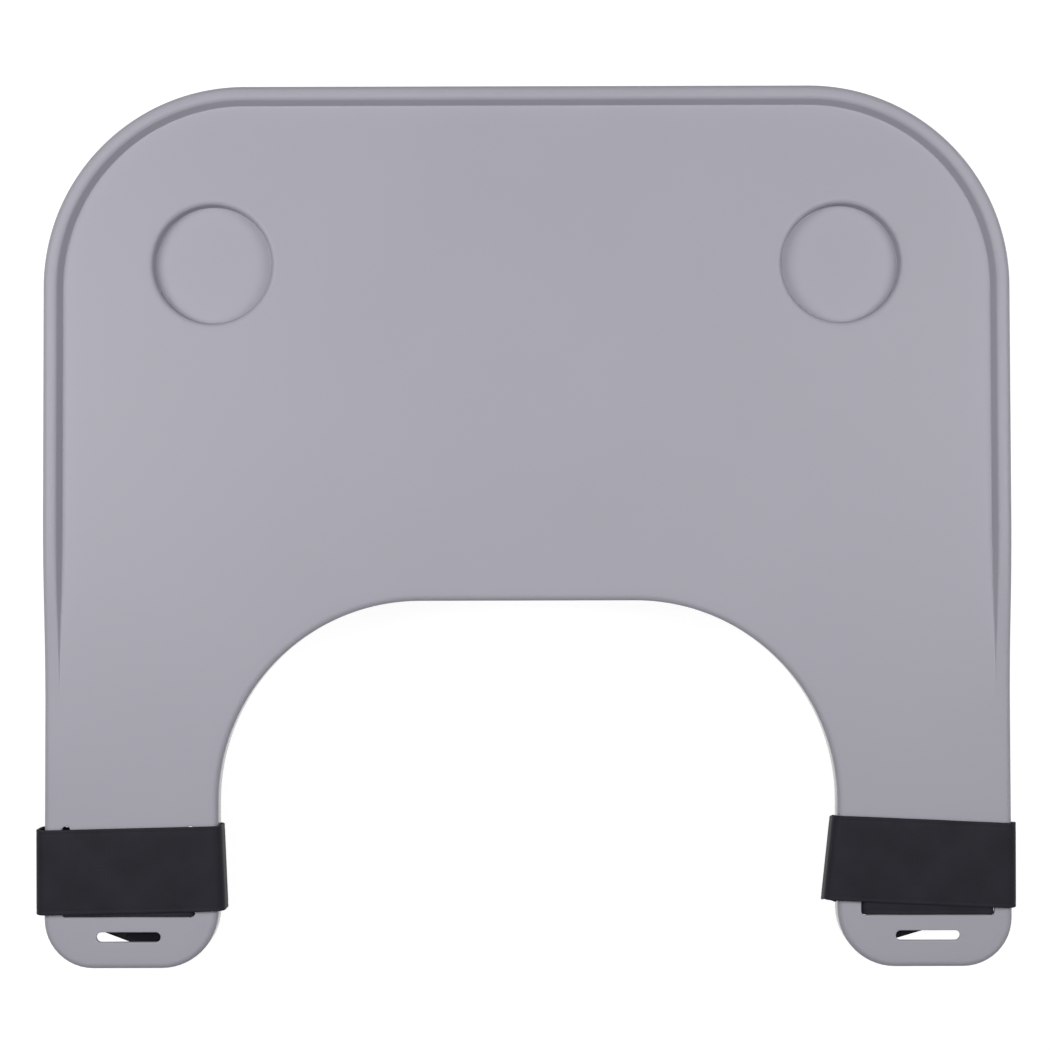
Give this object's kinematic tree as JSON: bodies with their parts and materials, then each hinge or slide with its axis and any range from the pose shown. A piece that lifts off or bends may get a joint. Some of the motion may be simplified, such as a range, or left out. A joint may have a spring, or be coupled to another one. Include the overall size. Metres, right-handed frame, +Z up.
{
  "type": "wheelchair tray table",
  "caption": "U-shaped moulded lap tray with a waist cut-out, raised front rim, cup recesses and a hook-and-loop strap round each arm, for fastening on wheelchair armrests.",
  "frame": {"origin": "centre of the object's footprint, on the plane it stands on", "axes": "+X across the tray to the user's right when seen from behind the waist cut-out, +Y forward to the front rim, +Z up"},
  "size_m": [0.5878, 0.5282, 0.0236],
  "materials": {
    "tray_plastic": "fine moulded texture, mid grey",
    "webbing": "flat woven black webbing",
    "hook_tape": "black hook tape, sewn on",
    "loop_tape": "black napped loop tape, sewn on"
  },
  "bodies": {
    "tray": {"tray_panel": "tray_plastic", "left_strap_band": "webbing", "left_loop_patch": "loop_tape", "right_strap_band": "webbing", "right_loop_patch": "loop_tape"},
    "left_tail": {"left_strap_tail": "webbing", "left_hook_patch": "hook_tape"},
    "left_tip": {"left_strap_tip": "webbing"},
    "right_tail": {"right_strap_tail": "webbing", "right_hook_patch": "hook_tape"},
    "right_tip": {"right_strap_tip": "webbing"}
  },
  "joints": [
    {"name": "left_tail_peel", "type": "hinge", "parent": "tray", "child": "left_tail", "pos_m": [-0.28685, -0.2059, 0], "axis": [0, 1, 0], "range_deg": [0, 110]},
    {"name": "left_tip_peel", "type": "hinge", "parent": "left_tail", "child": "left_tip", "pos_m": [-0.23054, -0.22746, 0.0002], "axis": [0.3584, 0.9336, 0], "range_deg": [0, 100]},
    {"name": "right_tail_peel", "type": "hinge", "parent": "tray", "child": "right_tail", "pos_m": [0.28685, -0.2039, 0], "axis": [0, -1, 0], "range_deg": [0, 110]},
    {"name": "right_tip_peel", "type": "hinge", "parent": "right_tail", "child": "right_tip", "pos_m": [0.22903, -0.22098, 0.0002], "axis": [0.284, -0.9588, 0], "range_deg": [0, 100]}
  ]
}
